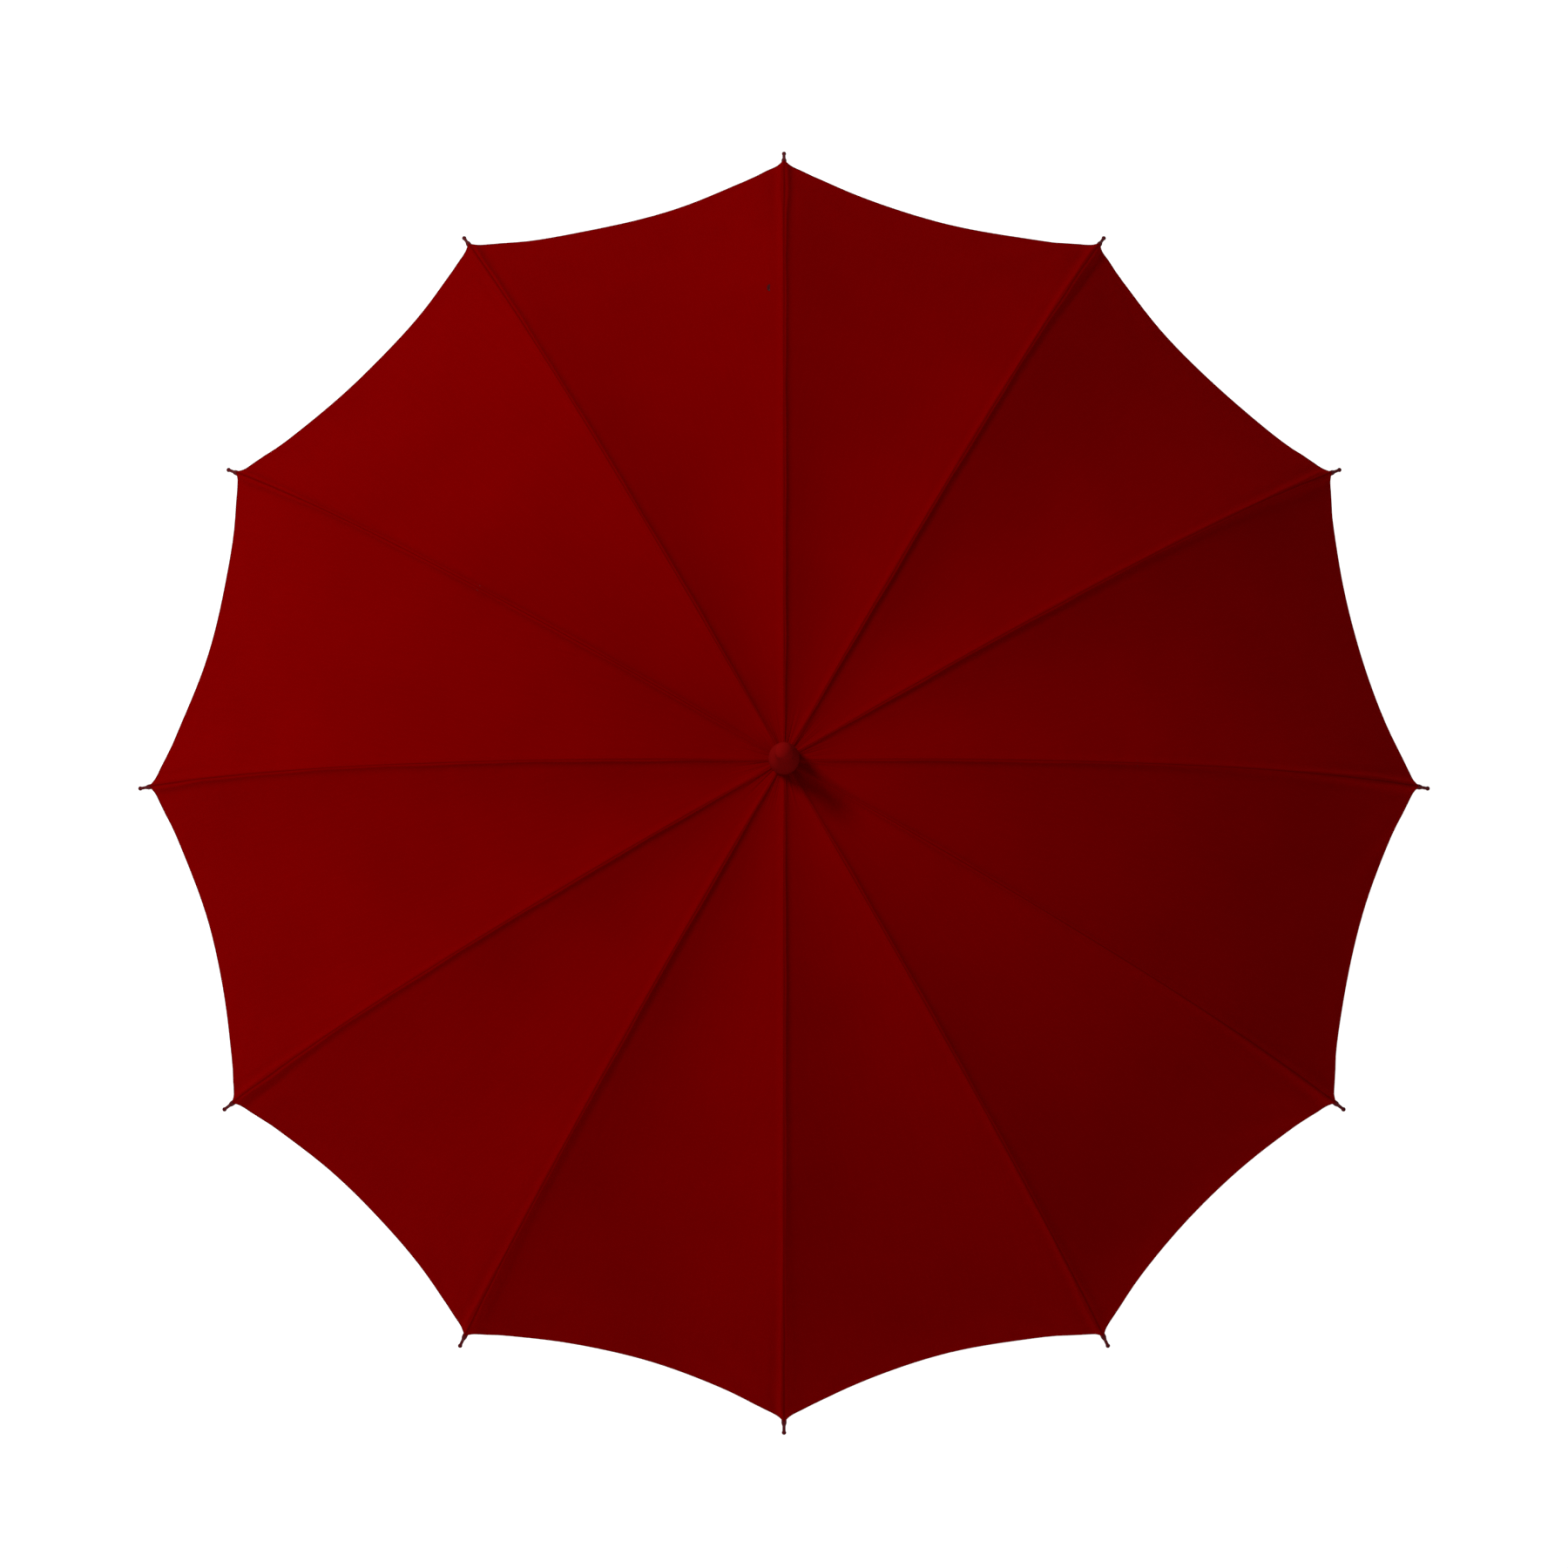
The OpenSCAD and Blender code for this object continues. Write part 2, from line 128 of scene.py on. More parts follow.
def rib_line(run):
    """Distance from the shaft, height above the pivots and slope of a rib, at runs from the hole."""
    run = np.asarray(run, float)
    on_straight = run - FLAT_RUN - INNER_RUN
    inner_slope = (run - FLAT_RUN) / INNER_RHO - CROWN_RISE
    outer_slope = (on_straight - STRAIGHT_RUN) / OUTER_RHO + JOINT_SLOPE
    stretches = [run < FLAT_RUN, on_straight < 0, on_straight < STRAIGHT_RUN]
    slope = np.select(stretches, [0 * run, inner_slope, 0 * run + JOINT_SLOPE], outer_slope)
    step = along(JOINT_SLOPE)
    x = np.select(
        stretches,
        [HOLE_R + run, INNER_CENTRE[0] + INNER_RHO * np.sin(slope), RIB_JOINT[0] + on_straight * step[0]],
        OUTER_CENTRE[0] + OUTER_RHO * np.sin(slope),
    )
    z = np.select(
        stretches,
        [0 * run, INNER_CENTRE[1] + INNER_RHO * np.cos(slope), RIB_JOINT[1] + on_straight * step[1]],
        OUTER_CENTRE[1] + OUTER_RHO * np.cos(slope),
    )
    return x, z, slope


def turned(x, z, centre, angle):
    """Points of the rib's plane, turned down about a centre."""
    dx = x - centre[0]
    dz = z - centre[1]
    return (
        centre[0] + dx * np.cos(angle) + dz * np.sin(angle),
        centre[1] - dx * np.sin(angle) + dz * np.cos(angle),
    )


def folded_line(run, share):
    """The same as rib_line, with the umbrella closed by that share of its fold."""
    x, z, slope = rib_line(run)
    flex = np.where(run > HINGE_RUN, -FLEX * share, 0)
    x, z = turned(x, z, HINGE, flex)
    x, z = turned(x, z, PIVOT, FOLD * share)
    return x, z, slope + flex + FOLD * share


# ---- Small helpers ----

def smooth(value, low, high):
    """0 below low, 1 above high, and an even curve between."""
    t = np.clip((value - low) / (high - low), 0, 1)
    return t * t * (3 - 2 * t)


def bell(value, width):
    """A rounded bump of height 1 at 0."""
    return np.exp(-np.square(value / width))


def grid_faces(rows, columns, closed):
    """Quads of a grid whose points go row by row. A closed grid joins its last column to its first."""
    last = columns if closed else columns - 1
    row = np.arange(rows - 1)[:, None] * columns
    here = np.arange(last)[None, :]
    there = (here + 1) % columns
    quads = np.stack([row + here, row + there, row + columns + there, row + columns + here], axis=-1)
    return quads.reshape(-1, 4)


def mesh_object(name, points, faces, smooth_shaded=True):
    """A new mesh object from points in metres."""
    mesh = bpy.data.meshes.new(name)
    mesh.from_pydata(np.asarray(points).tolist(), [], [list(face) for face in faces])
    mesh.polygons.foreach_set("use_smooth", [smooth_shaded] * len(mesh.polygons))
    mesh.update()
    piece = bpy.data.objects.new(name, mesh)
    bpy.context.scene.collection.objects.link(piece)
    return piece


def store(piece, name, values):
    """Keeps a number or a vector for each point of a piece."""
    vector = values.ndim == 2
    layer = piece.data.attributes.new(name, "FLOAT_VECTOR" if vector else "FLOAT", "POINT")
    layer.data.foreach_set("vector" if vector else "value", values.astype(np.float32).ravel())


def dress(piece, material):
    """Gives a piece one material in every slot."""
    if not piece.data.materials:
        piece.data.materials.append(material)
    for place in range(len(piece.data.materials)):
        piece.data.materials[place] = material


def scaled(color, brightness):
    """A colour made lighter or darker."""
    return tuple(brightness * c for c in color[:3]) + (1,)


# ---- Node building ----

def add(tree, kind, inputs=None, **settings):
    """A node with its settings and inputs. An input is a plain value or another node's output."""
    node = tree.nodes.new(kind)
    for name, value in settings.items():
        setattr(node, name, value)
    for key, value in (inputs or {}).items():
        if isinstance(value, bpy.types.NodeSocket):
            tree.links.new(value, node.inputs[key])
        else:
            node.inputs[key].default_value = value
    return node


def calculate(tree, operation, first, second=0.0, third=0.0):
    """The output of one Math node."""
    return add(tree, "ShaderNodeMath", {0: first, 1: second, 2: third}, operation=operation).outputs[0]


def blend_colors(tree, factor, first, second):
    """The output of a colour Mix node."""
    node = add(tree, "ShaderNodeMix", data_type="RGBA")
    sockets = {"Factor_Float": factor, "A_Color": first, "B_Color": second}
    for socket in node.inputs:
        value = sockets.get(socket.identifier)
        if isinstance(value, bpy.types.NodeSocket):
            tree.links.new(value, socket)
        elif value is not None:
            socket.default_value = value
    return next(out for out in node.outputs if out.identifier == "Result_Color")


def new_material(name, **sockets):
    """A material with a Principled shader. Returns the material, its node tree and the shader."""
    material = bpy.data.materials.new(name)
    material.use_nodes = True
    shader = material.node_tree.nodes["Principled BSDF"]
    for socket, value in sockets.items():
        shader.inputs[socket.replace("_", " ")].default_value = value
    return material, material.node_tree, shader


def noise(tree, where, scale, detail=3.0):
    """The output of a Noise Texture. Its scale is in features for each metre."""
    node = add(tree, "ShaderNodeTexNoise", {"Vector": where, "Scale": scale, "Detail": detail})
    return node.outputs["Fac"]


def stretched(tree, where, scale):
    """Texture coordinates scaled differently along each axis."""
    return add(tree, "ShaderNodeMapping", {"Vector": where, "Scale": scale}).outputs[0]


def object_place(tree):
    """Object coordinates."""
    return add(tree, "ShaderNodeTexCoord").outputs["Object"]


def attribute(tree, name, output="Vector"):
    """A value that the mesh keeps for each point."""
    return add(tree, "ShaderNodeAttribute", attribute_name=name).outputs[output]


def bump(tree, shader, height, strength, distance):
    """Feeds a height into the shader's normal."""
    node = add(tree, "ShaderNodeBump", {"Strength": strength, "Distance": distance, "Height": height})
    tree.links.new(node.outputs[0], shader.inputs["Normal"])


def set_color(tree, shader, color):
    """Feeds a colour into the shader."""
    tree.links.new(color, shader.inputs["Base Color"])


def set_roughness(tree, shader, value, low, high):
    """Spreads a 0 to 1 value over a range of roughness."""
    node = add(tree, "ShaderNodeMapRange", {"Value": value, "To Min": low, "To Max": high})
    tree.links.new(node.outputs[0], shader.inputs["Roughness"])


# ---- Materials ----

def weave(tree, where, pitch):
    """Height of a plain weave with that thread pitch: threads across and along, under and over."""
    across = add(tree, "ShaderNodeSeparateXYZ", {0: where})
    turns = 2 * math.pi / pitch
    warp = calculate(tree, "SINE", calculate(tree, "MULTIPLY", across.outputs[0], turns))
    weft = calculate(tree, "SINE", calculate(tree, "MULTIPLY", across.outputs[1], turns))
    return calculate(tree, "MULTIPLY", warp, weft)


def fabric_material(name, color, dark, pitch, sheen):
    """Tight woven cloth with faint patches and streaks and a little fuzz. Its colour darkens where the mesh stores
    shade: painted shade in the canopy's seams and at its hem's edge, and darker bound edges and stitched lines on
    the ribbon.
    """
    material, tree, shader = new_material(
        name, Roughness=0.9, Specular_IOR_Level=0.0, Sheen_Weight=sheen, Sheen_Roughness=0.5,
        Sheen_Tint=(0.55, 0.03, 0.03, 1),
    )
    cloth = attribute(tree, "cloth")
    patches = noise(tree, cloth, scale=14.0)
    streaks = noise(tree, stretched(tree, cloth, (900, 30, 1)), scale=1.0, detail=2.0)
    tone = calculate(tree, "MULTIPLY_ADD", streaks, 0.35, calculate(tree, "MULTIPLY", patches, 0.65))
    body = blend_colors(tree, tone, scaled(color, 0.87), scaled(color, 1.13))
    # Painted shade: the stored shade value mixes the colour towards the dark one (on the ribbon it marks its edges
    # and stitched lines)
    shade = attribute(tree, "shade", "Fac")
    set_color(tree, shader, blend_colors(tree, shade, body, dark))
    threads = weave(tree, cloth, pitch)
    fuzz = noise(tree, cloth, scale=900.0, detail=2.0)
    height = calculate(tree, "MULTIPLY_ADD", fuzz, 0.6, calculate(tree, "MULTIPLY", threads, 0.5))
    bump(tree, shader, height, strength=0.35, distance=0.12 * MM)
    return material


def lacquer_material(name, color, roughness, wear_color, shine=0.3):
    """Thin lacquer with orange peel, fine rub marks and paler worn specks. Its gloss has its own tint."""
    tint = scaled(color, 1 / max(color[:3]))
    material, tree, shader = new_material(name, Specular_IOR_Level=shine, Specular_Tint=tint)
    where = object_place(tree)
    rub = noise(tree, stretched(tree, where, (700, 700, 60)), scale=1.0)
    speck_level = 0.69
    specks = calculate(tree, "GREATER_THAN", noise(tree, where, scale=450.0, detail=4.0), speck_level)
    worn = calculate(tree, "MULTIPLY", specks, 0.5)
    set_color(tree, shader, blend_colors(tree, worn, color, wear_color))
    set_roughness(tree, shader, rub, low=roughness - 0.1, high=roughness + 0.12)
    bump(tree, shader, noise(tree, where, scale=900.0), strength=0.25, distance=0.05 * MM)
    return material


def metal_material(name, color, roughness):
    """Bright plated metal with fine lines and slightly cloudy patches."""
    material, tree, shader = new_material(name, Metallic=1.0)
    where = object_place(tree)
    lines = noise(tree, stretched(tree, where, (2500, 2500, 80)), scale=1.0, detail=2.0)
    clouds = noise(tree, where, scale=60.0)
    set_color(tree, shader, blend_colors(tree, clouds, color, scaled(color, 0.8)))
    set_roughness(tree, shader, lines, low=roughness - 0.06, high=roughness + 0.12)
    bump(tree, shader, lines, strength=0.2, distance=0.02 * MM)
    return material


def rod_material(name, color):
    """Pultruded glass fibre: satin, with pale specks of fibre."""
    material, tree, shader = new_material(name, Specular_IOR_Level=0.4)
    where = object_place(tree)
    fibres = noise(tree, where, scale=1500.0, detail=2.0)
    specks = calculate(tree, "POWER", fibres, 3.0)
    set_color(tree, shader, blend_colors(tree, specks, color, scaled(color, 2.2)))
    set_roughness(tree, shader, fibres, low=0.35, high=0.6)
    bump(tree, shader, fibres, strength=0.3, distance=0.03 * MM)
    return material


def plastic_material(name, color):
    """Moulded plastic with a fine spark-eroded grain."""
    material, tree, shader = new_material(name, Specular_IOR_Level=0.4)
    where = object_place(tree)
    grain = noise(tree, where, scale=1800.0, detail=1.0)
    marks = noise(tree, where, scale=70.0, detail=5.0)
    scuffed = calculate(tree, "MULTIPLY", marks, 0.4)
    set_color(tree, shader, blend_colors(tree, scuffed, color, scaled(color, 1.8)))
    set_roughness(tree, shader, marks, low=0.38, high=0.6)
    bump(tree, shader, grain, strength=0.35, distance=0.04 * MM)
    return material


def wood_material(name, color):
    """Dark stained ash under satin lacquer, with growth rings and pores."""
    material, tree, shader = new_material(
        name, Specular_IOR_Level=0.3, Coat_Weight=0.2, Coat_Roughness=0.3,
    )
    where = object_place(tree)
    wander = noise(tree, stretched(tree, where, (14, 14, 5)), scale=1.0, detail=4.0)
    rings = add(
        tree, "ShaderNodeTexWave",
        {"Vector": stretched(tree, where, (1, 0.55, 0.1)), "Scale": 95.0, "Distortion": 6.0,
         "Detail": 3.0, "Detail Scale": 1.6},
        wave_type="BANDS", bands_direction="X",
    ).outputs["Fac"]
    pore_level = 0.62
    pores = noise(tree, stretched(tree, where, (1400, 1400, 90)), scale=1.0, detail=2.0)
    pits = calculate(tree, "GREATER_THAN", pores, pore_level)
    tone = calculate(tree, "MULTIPLY_ADD", rings, 0.55, calculate(tree, "MULTIPLY", wander, 0.45))
    deep = scaled(color, 0.4)
    body = blend_colors(tree, tone, deep, scaled(color, 1.3))
    filled = calculate(tree, "MULTIPLY", pits, 0.55)
    set_color(tree, shader, blend_colors(tree, filled, body, deep))
    set_roughness(tree, shader, wander, low=0.3, high=0.5)
    ridges = calculate(tree, "MULTIPLY", rings, 0.3)
    bump(tree, shader, calculate(tree, "SUBTRACT", ridges, pits), strength=0.25, distance=0.06 * MM)
    return material


def thread_material(name, color):
    """Twisted sewing thread."""
    material, tree, shader = new_material(name, Roughness=0.8, Specular_IOR_Level=0.05)
    where = object_place(tree)
    twist = noise(tree, where, scale=2500.0, detail=2.0)
    set_color(tree, shader, blend_colors(tree, twist, scaled(color, 0.5), color))
    bump(tree, shader, twist, strength=0.5, distance=0.1 * MM)
    return material


def slot_color(slot, brightness=1.0):
    """The record's base colour of a slot, made lighter or darker."""
    entry = next(m for m in frame["record"]["materials"] if m["slot"] == slot)
    return scaled(entry["base_color"], brightness)


def make_materials():
    """One material for each slot of the record, and one for the thread."""
    # The dark red that the canopy's painted shade goes towards, down in its seams and at its hem's edge
    painted_shade_color = (0.022, 0, 0, 1)
    binding_dark = (0.03, 0, 0, 1)
    pale_red = (0.24, 0.005, 0.005, 1)
    grey = (0.16, 0.16, 0.16, 1)
    return {
        "canopy_fabric": fabric_material(
            "canopy_fabric", slot_color("canopy_fabric"), painted_shade_color, pitch=0.55 * MM, sheen=0.05),
        "strap_fabric": fabric_material(
            "strap_fabric", slot_color("strap_fabric"), binding_dark, pitch=0.8 * MM, sheen=0.05),
        "cap": lacquer_material(
            "cap", slot_color("cap", brightness=1.25), roughness=0.75, wear_color=pale_red, shine=0.0),
        "rib_tip": lacquer_material(
            "rib_tip", slot_color("rib_tip"), roughness=0.6, wear_color=pale_red, shine=0.02),
        "steel": metal_material("steel", slot_color("steel"), roughness=0.3),
        "black_steel": lacquer_material(
            "black_steel", slot_color("black_steel"), roughness=0.42, wear_color=grey),
        "fibre_rod": rod_material("fibre_rod", slot_color("fibre_rod")),
        "nickel": metal_material("nickel", slot_color("nickel", brightness=0.62), roughness=0.26),
        "runner_plastic": plastic_material("runner_plastic", slot_color("runner_plastic")),
        "wood": wood_material("wood", slot_color("wood")),
        "thread": thread_material("thread", slot_color("strap_fabric")),
        "snap": lacquer_material("snap", slot_color("snap"), roughness=0.35, wear_color=grey),
    }


def node_slots():
    """The slot that each CAD node takes its finish from, by the start of the node's name."""
    return {
        "shaft": "black_steel", "cap_washer": "black_steel", "rib_inner_": "black_steel",
        "stretcher_": "black_steel", "rib_outer_": "fibre_rod", "rib_tip_": "rib_tip",
        "crown": "nickel", "handle_collar": "nickel", "runner": "runner_plastic",
        "top_catch": "steel", "bottom_catch": "steel", "ferrule": "cap", "handle": "wood",
        "strap_snap": "snap",
    }


def dress_nodes(materials):
    """Gives the CAD nodes that stay in view their finish. The longest matching start wins."""
    slots = node_slots()
    for name, node in frame["nodes"].items():
        starts = [start for start in slots if name.startswith(start)]
        if starts:
            dress(node, materials[slots[max(starts, key=len)]])
            node.data.polygons.foreach_set("use_smooth", [True] * len(node.data.polygons))


# ---- Canopy ----

CLOTH_T = 0.35 * MM
HEM_SCALLOP = 26 * MM

# How far a panel hangs below its ribs: deepest in its middle, at two thirds of its run
PANEL_SAG = 13 * MM
SAG_TURN = 0.75 * math.pi

# At the very corner, the hem steps out onto the tip
NECK_LENGTH = 0.8 * MM
NECK_HALF_WIDTH = 1.9 * MM

# Height of the cloth above the ribs' centrelines: over a rib, beside it, when closed, and over the crown
RIB_COVER = 2.1 * MM
PLAIN_COVER = 0.9 * MM
FOLD_COVER = 2.7 * MM
CROWN_COVER = 4.0 * MM
CROWN_DIP = 15 * MM
CROWN_R = 17.7 * MM

# Further heights: over the tip's sleeve open and closed, and over the joint's rivet
TIP_LIFT = 0.5 * MM
SLEEVE_LIFT = 0.5 * MM
RIVET_LIFT = 0.35 * MM

# Heights of the cloth's small waves
SEAM_PUCKER = 0.13 * MM
HEM_PUCKER = 0.32 * MM
GATHER = 0.16 * MM
CORNER_FOLD = 0.3 * MM
UNEVENNESS = 0.45 * MM

# The hem: how far its edge drops, where its turned strip lies flat, and how far under the cloth
HEM_DROP = 0.8 * MM
HEM_BEND = 1.2 * MM
HEM_GAP = 0.8 * MM

# Closed: thickness of one layer of the wound slack, the gap in a crease, and the run where ribs take over
LAYER = 2.7 * MM
CREASE_GAP = 0.6 * MM
JOIN_RUN = 60 * MM
FOLD_KEEP = 0.5
FOLD_STEPS = 16

# Distances from a seam, in mm, of the fine columns beside it, and the number of even columns between
SEAM_COLUMNS = [0, 0.35, 0.7, 1.1, 1.6, 2.2, 3.0, 4.0, 5.5, 7.5, 10.5, 14.0]
EVEN_COLUMNS = 12
# A panel narrower than twice this has its fine columns drawn together
FINE_WIDTH = 45 * MM

# Rows, in mm: where the crown's rows end and how far from the edge the hem's begin, and the rows' spacings
CROWN_ROWS_END = 60
HEM_ROWS_REACH = 14
CROWN_STEP = 2.0
PANEL_STEP = 4.2
HEM_STEP = 1.4
# Distances of the turned strip's rows from the edge, in mm
TURNED_ROWS = [0.4, 1.2, 2.5, 4.5, 7.0]


def half_columns(half_width):
    """Distances from the seam to the middle of a panel, for each of the half widths."""
    fine = np.array(SEAM_COLUMNS) * MM * np.minimum(1, half_width / FINE_WIDTH)[:, None]
    start = fine[:, -1:]
    even = np.arange(1, EVEN_COLUMNS + 1) / EVEN_COLUMNS
    return np.concatenate([fine, start + even * (half_width[:, None] - start)], axis=1)


def row_shares():
    """Share of the run from hole to hem at each row. The rows are closest at the crown and the hem."""
    end = FABRIC_RUN / MM
    hem_start = end - HEM_ROWS_REACH
    crown = np.arange(0, CROWN_ROWS_END, CROWN_STEP)
    panel = np.arange(CROWN_ROWS_END, hem_start, PANEL_STEP)
    hem = np.arange(hem_start, end, HEM_STEP)
    return np.concatenate([crown, panel, hem, [end]]) * MM / FABRIC_RUN


def panel_points(panel, side, x, z):
    """Points on the straight line from rib to rib. Side is -1 on a panel's first rib, 1 on its second."""
    turn = (panel + 0.5) * PITCH
    out = x * math.cos(HALF_PITCH)
    aside = side * x * math.sin(HALF_PITCH)
    return np.stack([
        out * np.cos(turn) - aside * np.sin(turn),
        out * np.sin(turn) + aside * np.cos(turn),
        CROWN_Z + z,
    ], axis=-1)


def panel_sag(side, run):
    """How far a panel hangs below its ribs."""
    return PANEL_SAG * (1 - np.square(side)) * np.sin(SAG_TURN * np.minimum(1, run / FABRIC_RUN))


def all_round(values):
    """One panel's values, repeated for every panel."""
    return np.tile(values, (1, RIB_COUNT))


class Canopy:
    """The canopy's grid. Its rows go from hole to hem and back under it. Its columns go round all panels,
    starting on the first rib."""

    def __init__(self):
        shares = row_shares()
        turned_in = np.array(TURNED_ROWS) * MM
        self.middle = len(SEAM_COLUMNS) + EVEN_COLUMNS - 1
        self.per_panel = 2 * self.middle
        self.rows = len(shares) + len(turned_in)
        self.columns = RIB_COUNT * self.per_panel
        self.panel = np.repeat(np.arange(RIB_COUNT), self.per_panel)[None, :]
        # 0 on the cloth, and up to 1 on the strip turned under it
        self.below = np.concatenate([0 * shares, np.minimum(1, turned_in / HEM_BEND)])[:, None]
        self.upper = self.below == 0
        upper_runs = shares[:, None] * self.full_run(shares)
        hem_run = upper_runs[-1:]
        runs = np.concatenate([upper_runs, hem_run - turned_in[:, None]])
        x, z, slope = rib_line(runs)
        half_width = x * math.sin(HALF_PITCH)
        across = [
            self.across_at(half_width[:, column], np.array([column]))
            for column in range(self.per_panel)
        ]
        self.run = all_round(runs)
        self.to_hem = all_round(hem_run - runs) * self.upper
        self.across = all_round(np.concatenate(across, axis=1))
        self.half_width = all_round(half_width)
        self.x = all_round(x)
        self.z = all_round(z)
        self.slope = all_round(slope)
        self.side = self.across / self.half_width - 1
        self.mid = 1 - np.square(self.side)
        self.to_seam = self.half_width * (1 - np.abs(self.side))
        self.share = self.run / FABRIC_RUN
        self.near_rib = (self.panel + (self.side > 0)) % RIB_COUNT

    def across_at(self, half_width, columns):
        """Distance across a panel from its first seam, for each half width, at columns by number."""
        from_seam = half_columns(half_width)
        first = columns <= self.middle
        number = np.where(first, columns, 2 * self.middle - columns)
        distance = from_seam[:, number]
        return np.where(first, distance, 2 * half_width[:, None] - distance)

    def full_run(self, shares):
        """The run that each row is a share of, for one panel's columns: shorter where the hem is cut in."""
        hem_half = float(rib_line(FABRIC_RUN)[0] * math.sin(HALF_PITCH))
        across = self.across_at(np.array([hem_half]), np.arange(self.per_panel))
        side = across / hem_half - 1
        neck = NECK_LENGTH * (1 - bell(hem_half * (1 - np.abs(side)), NECK_HALF_WIDTH))
        cut = HEM_SCALLOP * (1 - np.square(side)) + neck
        return FABRIC_RUN - cut * shares[:, None] ** 4

    def seam_relief(self):
        """Height of the cloth by a rib: the rib's ridge, the seam's lips, and the valleys beside them."""
        run = self.run / MM
        wide = smooth(self.half_width, 5 * MM, 30 * MM)
        wider = smooth(self.half_width, 15 * MM, 60 * MM)
        rim = smooth(self.share, 0.72, 1.0)
        off_tip = smooth(FABRIC_RUN - self.run, 0, 16 * MM)
        seed = self.near_rib * 1.7
        uneven = 1 + 0.18 * np.sin(run / 23 + seed * 2.1) + 0.12 * np.sin(run / 9.5 + seed)
        ridge_width = (2.6 + 0.8 * wider) * MM
        lip_place = (0.8 + 0.7 * wide + 1.5 * rim) * MM * uneven
        lip_width = (0.65 + 0.25 * wide + 0.6 * rim) * MM
        lip_height = (0.25 + 0.5 * wide + 0.75 * rim * off_tip) * (0.3 + 0.7 * off_tip) * MM
        valley_place = (6 + 2.5 * rim) * MM
        valley_width = (2.4 + 0.6 * rim) * MM
        valley_depth = (0.3 * wide + 0.7 * rim) * off_tip * MM
        ridge = (RIB_COVER - PLAIN_COVER) * bell(self.to_seam, ridge_width)
        lips = lip_height * bell(self.to_seam - lip_place, lip_width)
        valley = valley_depth * bell(self.to_seam - valley_place, valley_width)
        return ridge + lips - valley

    def puckers(self):
        """Small pulls of the thread beside the seams and along the hem."""
        run = self.run / MM
        across = self.across / MM
        slant = self.to_seam / MM / 2
        seed = self.near_rib * 2.3 + np.sign(self.side)
        wave = np.sin((run - slant) / 2.3 + seed + 0.8 * np.sin(run / 17 + seed))
        beside = bell(self.to_seam - 6.5 * MM, 4.5 * MM) * smooth(self.half_width, 12 * MM, 40 * MM)
        pulls = np.sin(across / 3.1 + 0.9 * np.sin(across / 11 + self.panel))
        hem = bell(self.to_hem - 8.5 * MM, 5 * MM) * smooth(self.share, 0.7, 0.85) * self.upper
        return SEAM_PUCKER * wave * beside + HEM_PUCKER * pulls * hem

    def gathers(self):
        """Fine folds round the cap, where the points of the panels are drawn together."""
        angle = (self.panel + (self.side + 1) / 2) * PITCH
        fade = smooth(self.x, 9 * MM, 14 * MM) * (1 - smooth(self.x, 22 * MM, 52 * MM))
        broad = np.sin(36 * angle + 1.5 * np.sin(5 * angle))
        narrow = 0.8 * np.sin(84 * angle + 2 * np.sin(7 * angle))
        return GATHER * (broad + narrow) * fade

    def corner_pulls(self):
        """Long shallow tension folds that fan out of each corner, where the tip stretches the cloth."""
        from_tip = np.hypot(FABRIC_RUN - self.run, self.to_seam)
        turn = np.arctan2(self.to_seam, FABRIC_RUN - self.run + 12 * MM)
        fan = np.sin(turn * 17 + self.near_rib * 1.3 + np.sign(self.side) * 0.7)
        reach = smooth(from_tip, 8 * MM, 35 * MM) * (1 - smooth(from_tip, 60 * MM, 150 * MM))
        return CORNER_FOLD * fan * reach * smooth(self.to_seam, 4 * MM, 14 * MM)

    def unevenness(self):
        """Slow rises and falls of a hand-stretched panel."""
        run = self.run / MM
        across = self.side * self.half_width / MM
        phase = self.panel * 1.9
        main = np.sin(run / 61 + phase) * np.cos(across / 37 + 2 * phase)
        lesser = 0.6 * np.sin(across / 21 - run / 90 + phase)
        return UNEVENNESS * (main + lesser) * self.mid * smooth(self.share, 0.1, 0.35)

    def rest_cover(self):
        """Height of the cloth above the ribs' centrelines at rest."""
        narrow = 1 - smooth(self.half_width, 5 * MM, 12 * MM)
        at_sleeve = smooth(self.run, FABRIC_RUN - 18 * MM, FABRIC_RUN - 9 * MM)
        at_edge = 1 - smooth(self.to_hem, 0, 2.5 * MM)
        crown = (CROWN_COVER - RIB_COVER) * np.exp(-np.maximum(0, self.run - FLAT_RUN) / CROWN_DIP)
        between = (RIB_COVER - PLAIN_COVER) * narrow
        over_tip = TIP_LIFT * bell(self.to_seam, 3 * MM) * at_sleeve
        over_rivet = RIVET_LIFT * bell(self.run - HINGE_RUN, 5 * MM) * bell(self.to_seam, 6 * MM)
        cover = PLAIN_COVER + crown + between + over_tip + over_rivet + self.seam_relief()
        cover = cover + self.puckers() + self.gathers() + self.corner_pulls() + self.unevenness()
        drop = HEM_DROP * at_edge * smooth(self.to_seam, 8 * MM, 40 * MM)
        return cover - drop - HEM_GAP * self.below

    def rest(self):
        """Points of the open canopy: each row runs straight from rib to rib, then hangs a little.
        Each panel hangs a little differently."""
        cover = self.rest_cover()
        own_sag = (1 + 0.1 * np.sin(self.panel * 2.4 + 0.5)) * panel_sag(self.side, self.run)
        x = self.x + cover * np.sin(self.slope)
        z = self.z + cover * np.cos(self.slope) - own_sag
        return panel_points(self.panel, self.side, x, z)

    def folded_profile(self, share):
        """Distance from the shaft and height of the cloth over its ribs, closed by that share."""
        x, z, slope = folded_line(self.run, share)
        over_sleeve = SLEEVE_LIFT * smooth(self.run, FABRIC_RUN - 24 * MM, FABRIC_RUN - 12 * MM)
        cover = FOLD_COVER + over_sleeve - HEM_GAP / 2 * self.below
        radius = x + cover * np.sin(slope)
        height = z + cover * np.cos(slope)
